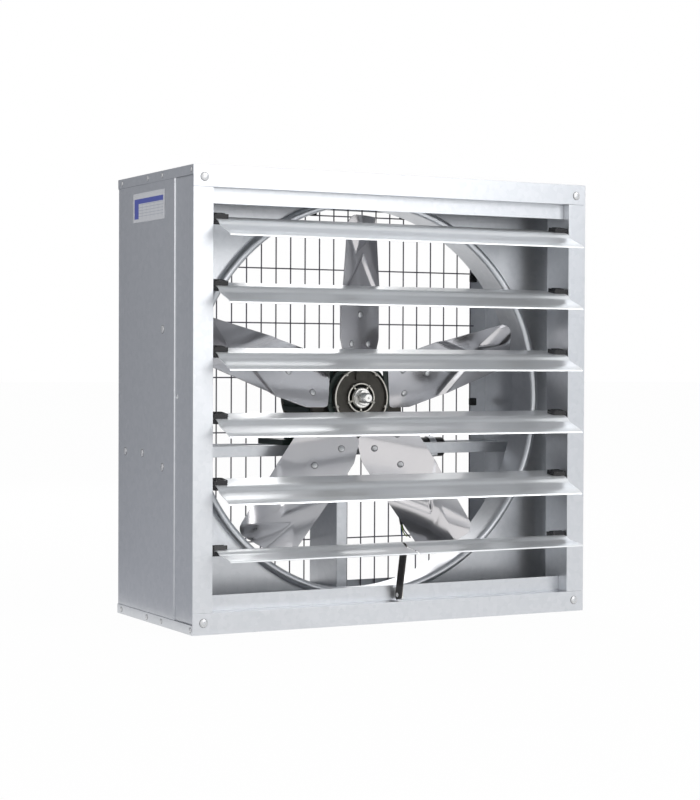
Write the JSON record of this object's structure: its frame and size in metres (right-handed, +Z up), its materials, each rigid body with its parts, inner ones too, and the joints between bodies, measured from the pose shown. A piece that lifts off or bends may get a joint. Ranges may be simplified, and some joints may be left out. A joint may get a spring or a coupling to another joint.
{
  "type": "industrial exhaust fan",
  "caption": "Square galvanised wall exhaust fan with hinged gravity louvres in front, a bladed wheel on a foot-mounted motor inside, and a wire guard behind.",
  "frame": {"origin": "centre of the footprint of the box on the underside of the bottom panel", "axes": "+Z up, -Y out through the louvres in the direction in which the air leaves, +X to the right seen from in front of the louvres"},
  "size_m": [0.8032, 0.4132, 0.8],
  "materials": {
    "galvanised": "satin galvanised",
    "louvre_aluminium": "satin",
    "black_plastic": "matte",
    "dark_steel": "dark oxide",
    "zinc_steel": "zinc plated",
    "blade_steel": "polished",
    "motor_paint": "semi-matte paint",
    "dark_casting": "cast",
    "black_rubber": "matte",
    "blue_insulation": "gloss",
    "green_insulation": "gloss",
    "guard_wire": "dull zinc",
    "plate_film": "matte film"
  },
  "bodies": {
    "housing": {"left_side_panel": "galvanised", "right_side_panel": "galvanised", "top_panel": "galvanised", "bottom_panel": "galvanised", "front_frame_bottom": "galvanised", "front_frame_top": "galvanised", "front_frame_left": "galvanised", "front_frame_right": "galvanised", "venturi_panel": "galvanised", "venturi_ring": "galvanised", "motor_rail_front": "galvanised", "motor_rail_rear": "galvanised", "motor_post": "galvanised", "capacitor_clamp": "galvanised", "stator_core": "dark_steel", "stay_bracket": "zinc_steel", "motor_front_bearing": "zinc_steel", "motor_rear_bearing": "zinc_steel", "motor_housing": "motor_paint", "motor_front_cover": "dark_casting", "motor_rear_cover": "dark_casting", "terminal_box": "dark_casting", "terminal_lid": "dark_casting", "cable_gland": "black_plastic", "run_capacitor": "black_plastic", "motor_lead": "black_rubber", "lead_core_black": "black_rubber", "lead_core_blue": "blue_insulation", "lead_core_green": "green_insulation", "wire_guard": "guard_wire", "data_plate": "plate_film"},
    "rotor": {"hub_spider": "motor_paint", "blade_1": "blade_steel", "blade_2": "blade_steel", "blade_3": "blade_steel", "blade_4": "blade_steel", "blade_5": "blade_steel", "hub_casting": "dark_casting", "shaft_nut": "zinc_steel", "motor_shaft": "zinc_steel", "rotor_core": "dark_steel"},
    "louvre_1_body": {"louvre_1": "louvre_aluminium", "louvre_clip_left_1": "black_plastic", "louvre_clip_right_1": "black_plastic"},
    "louvre_2_body": {"louvre_2": "louvre_aluminium", "louvre_clip_left_2": "black_plastic", "louvre_clip_right_2": "black_plastic"},
    "louvre_3_body": {"louvre_3": "louvre_aluminium", "louvre_clip_left_3": "black_plastic", "louvre_clip_right_3": "black_plastic"},
    "louvre_4_body": {"louvre_4": "louvre_aluminium", "louvre_clip_left_4": "black_plastic", "louvre_clip_right_4": "black_plastic"},
    "louvre_5_body": {"louvre_5": "louvre_aluminium", "louvre_clip_left_5": "black_plastic", "louvre_clip_right_5": "black_plastic"},
    "louvre_6_body": {"louvre_6": "louvre_aluminium", "louvre_clip_left_6": "black_plastic", "louvre_clip_right_6": "black_plastic"},
    "stay_lever_body": {"stay_lever": "dark_steel"}
  },
  "joints": [
    {"name": "rotor_spin", "type": "hinge", "parent": "housing", "child": "rotor", "pos_m": [0, -0.02, 0.4], "axis": [0, 1, 0], "continuous": true},
    {"name": "louvre_1_pivot", "type": "hinge", "parent": "housing", "child": "louvre_1_body", "pos_m": [0, -0.163, 0.711], "axis": [1, 0, 0], "range_deg": [-20, 66]},
    {"name": "louvre_2_pivot", "type": "hinge", "parent": "housing", "child": "louvre_2_body", "pos_m": [0, -0.163, 0.5974], "axis": [1, 0, 0], "range_deg": [-20, 66]},
    {"name": "louvre_3_pivot", "type": "hinge", "parent": "housing", "child": "louvre_3_body", "pos_m": [0, -0.163, 0.4838], "axis": [1, 0, 0], "range_deg": [-20, 66]},
    {"name": "louvre_4_pivot", "type": "hinge", "parent": "housing", "child": "louvre_4_body", "pos_m": [0, -0.163, 0.3702], "axis": [1, 0, 0], "range_deg": [-20, 66]},
    {"name": "louvre_5_pivot", "type": "hinge", "parent": "housing", "child": "louvre_5_body", "pos_m": [0, -0.163, 0.2566], "axis": [1, 0, 0], "range_deg": [-20, 66]},
    {"name": "louvre_6_pivot", "type": "hinge", "parent": "housing", "child": "louvre_6_body", "pos_m": [0, -0.163, 0.143], "axis": [1, 0, 0], "range_deg": [-6, 80]},
    {"name": "stay_lever_pivot", "type": "hinge", "parent": "housing", "child": "stay_lever_body", "pos_m": [0.008, -0.163, 0.048], "axis": [1, 0, 0], "range_deg": [0, 75]}
  ]
}
